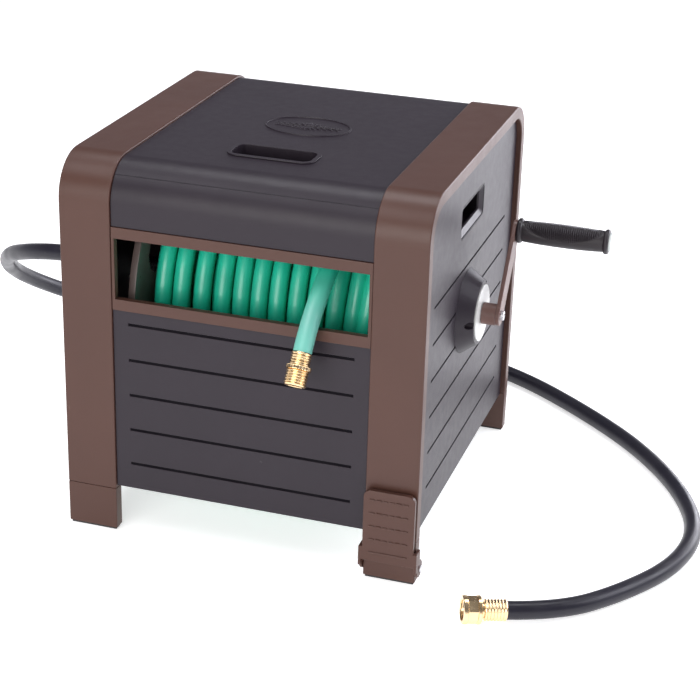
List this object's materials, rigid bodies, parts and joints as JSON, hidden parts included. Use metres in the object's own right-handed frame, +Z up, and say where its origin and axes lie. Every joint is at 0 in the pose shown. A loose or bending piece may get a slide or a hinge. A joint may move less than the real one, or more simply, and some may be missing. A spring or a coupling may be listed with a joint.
{
  "type": "garden hose reel cabinet",
  "caption": "Four-legged box that hides a crank-wound garden hose reel, with a front hose slot, hinged lid, foot step, inlet leader hose and brass couplings.",
  "frame": {"origin": "on the ground, in the middle of the rectangle of the four feet", "axes": "+X towards the crank side, -Y the front with the hose slot, +Z up"},
  "size_m": [1.0432, 0.7566, 0.478],
  "materials": {
    "brown_frame": "fine-grained moulded brown plastic",
    "dark_panel": "fine-grained moulded charcoal-brown plastic",
    "white_plastic": "smooth white acetal",
    "grey_plastic": "smooth dark grey plastic",
    "green_hose": "semi-gloss green vinyl",
    "black_hose": "satin black rubber",
    "brass": "turned, lightly brushed",
    "steel": "zinc-plated",
    "brown_metal": "brown powder coat",
    "rubber": "matt",
    "grip": "soft-touch moulded grip",
    "cap": "smooth pale plastic"
  },
  "bodies": {
    "cabinet": {"right_side_frame": "brown_frame", "left_side_frame": "brown_frame", "front_right_foot": "brown_frame", "front_left_foot": "brown_frame", "rear_right_foot": "brown_frame", "rear_left_foot": "brown_frame", "slot_frame": "brown_frame", "right_side_panel": "dark_panel", "left_side_panel": "dark_panel", "front_panel": "dark_panel", "rear_panel": "dark_panel", "front_fascia": "dark_panel", "right_bearing_housing": "dark_panel", "left_bearing_housing": "dark_panel", "right_bush": "white_plastic", "left_bush": "white_plastic", "inlet_fitting": "grey_plastic", "front_base_rail": "grey_plastic", "rear_base_rail": "grey_plastic", "hose_tail": "green_hose", "leader_hose": "black_hose", "inlet_nut": "brass", "inlet_ferrule": "brass", "leader_ferrule": "brass", "leader_stem": "brass", "tail_ferrule": "brass", "tail_male_fitting": "brass", "hinge_pins": "steel", "frame_screws": "steel", "housing_screws": "steel", "step_pin": "steel", "foot_pads": "rubber", "inlet_seals": "rubber", "hose_washer": "rubber"},
    "lid": {"lid_panel": "dark_panel", "lid_grip_cup": "dark_panel", "lid_badge": "dark_panel"},
    "reel": {"drum_barrel": "grey_plastic", "right_flange": "grey_plastic", "left_flange": "grey_plastic", "right_axle_stub": "steel", "left_axle_stub": "steel", "water_elbow": "grey_plastic", "hose_winding": "green_hose", "crank_hub": "brown_metal", "crank_arm": "brown_metal", "crank_screw": "steel", "grip_spindle": "steel"},
    "crank_grip": {"hand_grip": "grip", "grip_end_cap": "cap"},
    "step": {"foot_step": "brown_frame"},
    "swivel_nut": {"leader_swivel_nut": "brass"}
  },
  "joints": [
    {"name": "lid_hinge", "type": "hinge", "parent": "cabinet", "child": "lid", "pos_m": [0, 0.21565, 0.46065], "axis": [-1, 0, 0], "range_deg": [0, 100]},
    {"name": "reel_spin", "type": "hinge", "parent": "cabinet", "child": "reel", "pos_m": [0, -0.018, 0.272], "axis": [1, 0, 0], "continuous": true},
    {"name": "grip_spin", "type": "hinge", "parent": "reel", "child": "crank_grip", "pos_m": [0.32, 0.04818, 0.36111], "axis": [1, 0, 0], "continuous": true},
    {"name": "step_hinge", "type": "hinge", "parent": "cabinet", "child": "step", "pos_m": [0.19275, -0.226, 0.021], "axis": [1, 0, 0], "range_deg": [0, 90]},
    {"name": "nut_swivel", "type": "hinge", "parent": "cabinet", "child": "swivel_nut", "pos_m": [0.30872, -0.2904, 0.01826], "axis": [-0.916, -0.398, 0.0505], "continuous": true}
  ]
}
